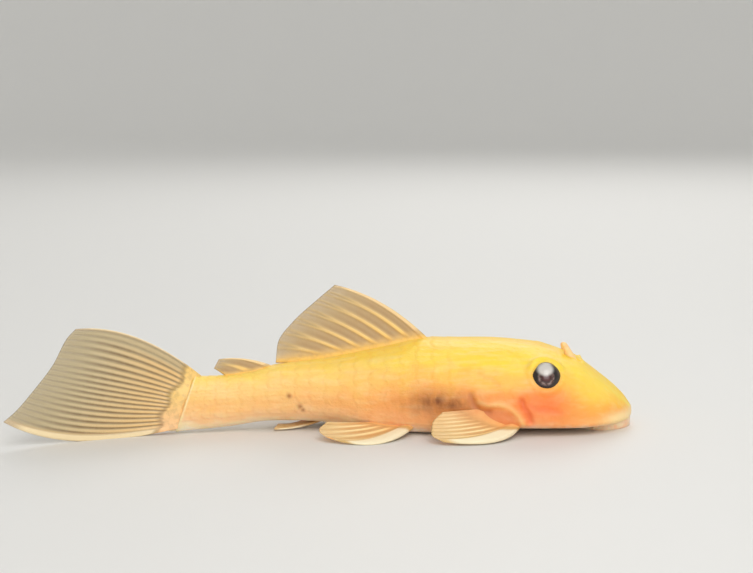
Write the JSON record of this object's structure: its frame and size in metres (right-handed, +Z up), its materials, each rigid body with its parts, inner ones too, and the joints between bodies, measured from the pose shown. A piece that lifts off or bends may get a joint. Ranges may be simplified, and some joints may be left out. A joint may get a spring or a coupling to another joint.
{
  "type": "bristlenose pleco",
  "caption": "Golden bristlenose pleco lying on its sucker mouth and belly with raised dorsal and spread fins, a life-size still model.",
  "frame": {"origin": "on the floor under the flat of the belly, in the head's middle plane, a third of the body length behind the snout", "axes": "+X towards the snout, +Y to the fish's left, +Z up; the floor is z = 0 and the tail bends towards -Y"},
  "size_m": [0.107, 0.0368, 0.025],
  "materials": {
    "skin": "satin, moist golden skin and plates",
    "fin": "translucent skin between yellow rays",
    "lip": "soft pink fleshy lips",
    "eye": "wet gloss, dark pupil in a pale ring"
  },
  "bodies": {
    "root": {"head": "skin", "trunk": "skin", "tail_stem": "skin", "sucker_mouth": "lip", "eye_left": "eye", "eye_right": "eye", "dorsal_fin": "fin", "adipose_fin": "fin", "anal_fin": "fin", "caudal_fin": "fin", "pectoral_fin_left": "fin", "pectoral_fin_right": "fin", "pelvic_fin_left": "fin", "pelvic_fin_right": "fin"}
  },
  "joints": []
}
